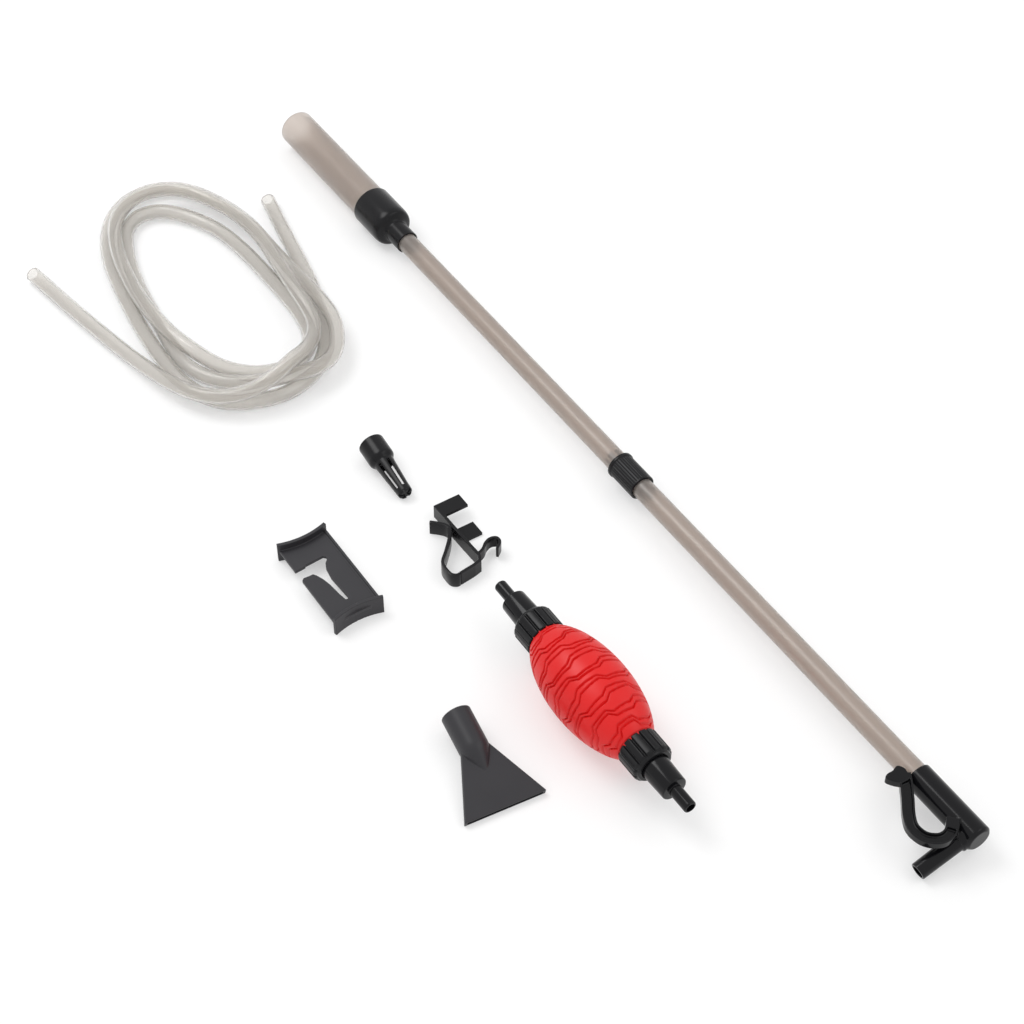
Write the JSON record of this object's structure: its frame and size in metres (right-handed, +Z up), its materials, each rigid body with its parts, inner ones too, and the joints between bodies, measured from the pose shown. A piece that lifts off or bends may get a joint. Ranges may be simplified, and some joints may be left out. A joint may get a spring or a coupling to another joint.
{
  "type": "gravel vacuum siphon",
  "caption": "Push-fit siphon wand with a wide clear mouth, hooked handle, squeeze bulb with screwed unions, coiled clear hose, strainer, flat nozzle, pinch plate and rim clip.",
  "frame": {"origin": "on the floor, at the middle of the layout's box without the hose", "axes": "+X along the wand from its open mouth to its handle, +Y across the layout towards the wand, +Z up"},
  "size_m": [0.8763, 0.2882, 0.055],
  "materials": {
    "smoky": "smoky-brown clear plastic",
    "black": "satin black moulding",
    "black_gloss": "glossy black moulding",
    "charcoal": "satin charcoal moulding",
    "red_rubber": "smooth red rubber",
    "seal": "soft black rubber",
    "hose": "clear soft vinyl"
  },
  "bodies": {
    "handle": {"handle_elbow": "black_gloss"},
    "lower_wand": {"lower_tube": "smoky"},
    "coupling": {"tube_coupling": "black"},
    "upper_wand": {"upper_tube": "smoky"},
    "reducer": {"tube_reducer": "black"},
    "gravel": {"gravel_tube": "smoky"},
    "bulb": {"bulb_lower_wall": "red_rubber", "inlet_valve_seat": "black", "outlet_valve_seat": "black"},
    "bulb_top": {"bulb_upper_wall": "red_rubber"},
    "inlet_flap": {"inlet_valve_flap": "seal"},
    "outlet_flap": {"outlet_valve_flap": "seal"},
    "inlet_fitting": {"inlet_adapter": "black_gloss", "inlet_gasket": "seal"},
    "outlet_fitting": {"outlet_adapter": "black_gloss", "outlet_gasket": "seal"},
    "inlet_union": {"inlet_nut": "black"},
    "outlet_union": {"outlet_nut": "black"},
    "strainer": {"strainer_basket": "black"},
    "nozzle": {"flat_nozzle": "charcoal"},
    "plate": {"flow_control_plate": "charcoal"},
    "clip": {"clip_body": "black"},
    "clip_arm": {"clip_spring_arm": "black"},
    "hose": {"siphon_hose": "hose"}
  },
  "joints": [
    {"name": "lower_tube_pull", "type": "slide", "parent": "handle", "child": "lower_wand", "axis": [-1, 0, 0], "range_m": [0, 0.04]},
    {"name": "coupling_pull", "type": "slide", "parent": "lower_wand", "child": "coupling", "axis": [-1, 0, 0], "range_m": [0, 0.035]},
    {"name": "upper_tube_pull", "type": "slide", "parent": "coupling", "child": "upper_wand", "axis": [-1, 0, 0], "range_m": [0, 0.035]},
    {"name": "reducer_pull", "type": "slide", "parent": "upper_wand", "child": "reducer", "axis": [-1, 0, 0], "range_m": [0, 0.04]},
    {"name": "gravel_tube_pull", "type": "slide", "parent": "reducer", "child": "gravel", "axis": [-1, 0, 0], "range_m": [0, 0.04]},
    {"name": "bulb_lift", "type": "slide", "parent": "handle", "child": "bulb", "axis": [0, 0, 1], "range_m": [0, 0.06]},
    {"name": "strainer_lift", "type": "slide", "parent": "handle", "child": "strainer", "axis": [0, 0, 1], "range_m": [0, 0.06]},
    {"name": "nozzle_lift", "type": "slide", "parent": "handle", "child": "nozzle", "axis": [0, 0, 1], "range_m": [0, 0.06]},
    {"name": "plate_lift", "type": "slide", "parent": "handle", "child": "plate", "axis": [0, 0, 1], "range_m": [0, 0.06]},
    {"name": "clip_lift", "type": "slide", "parent": "handle", "child": "clip", "axis": [0, 0, 1], "range_m": [0, 0.06]},
    {"name": "hose_lift", "type": "slide", "parent": "handle", "child": "hose", "axis": [0, 0, 1], "range_m": [0, 0.06]},
    {"name": "bulb_squeeze", "type": "slide", "parent": "bulb", "child": "bulb_top", "axis": [0, 0, -1], "range_m": [0, 0.01], "stiffness_N_per_m": 800, "deforming": ["bulb_upper_wall"]},
    {"name": "inlet_fitting_slide", "type": "slide", "parent": "bulb", "child": "inlet_fitting", "axis": [-1, 0, 0], "range_m": [0, 0.009]},
    {"name": "inlet_nut_turn", "type": "hinge", "parent": "inlet_fitting", "child": "inlet_union", "pos_m": [0.2138, -0.0206, 0.0275], "axis": [-1, 0, 0], "range_deg": [0, 1080]},
    {"name": "outlet_fitting_slide", "type": "slide", "parent": "bulb", "child": "outlet_fitting", "axis": [1, 0, 0], "range_m": [0, 0.009]},
    {"name": "outlet_nut_turn", "type": "hinge", "parent": "outlet_fitting", "child": "outlet_union", "pos_m": [0.2138, -0.0206, 0.0275], "axis": [1, 0, 0], "range_deg": [0, 1080]},
    {"name": "inlet_flap_open", "type": "slide", "parent": "bulb", "child": "inlet_flap", "axis": [1, 0, 0], "range_m": [0, 0.0015], "stiffness_N_per_m": 15},
    {"name": "outlet_flap_open", "type": "slide", "parent": "bulb", "child": "outlet_flap", "axis": [1, 0, 0], "range_m": [0, 0.0015], "stiffness_N_per_m": 15},
    {"name": "clip_arm_flex", "type": "hinge", "parent": "clip", "child": "clip_arm", "pos_m": [0.069, -0.0306, 0.006], "axis": [0, 0, 1], "range_deg": [0, 8], "stiffness_Nm_per_rad": 0.4}
  ],
  "couplings": [
    {"joint": "inlet_fitting_slide", "follows": "inlet_nut_turn", "m_per_rad": 0.00047746},
    {"joint": "outlet_fitting_slide", "follows": "outlet_nut_turn", "m_per_rad": 0.00047746}
  ]
}
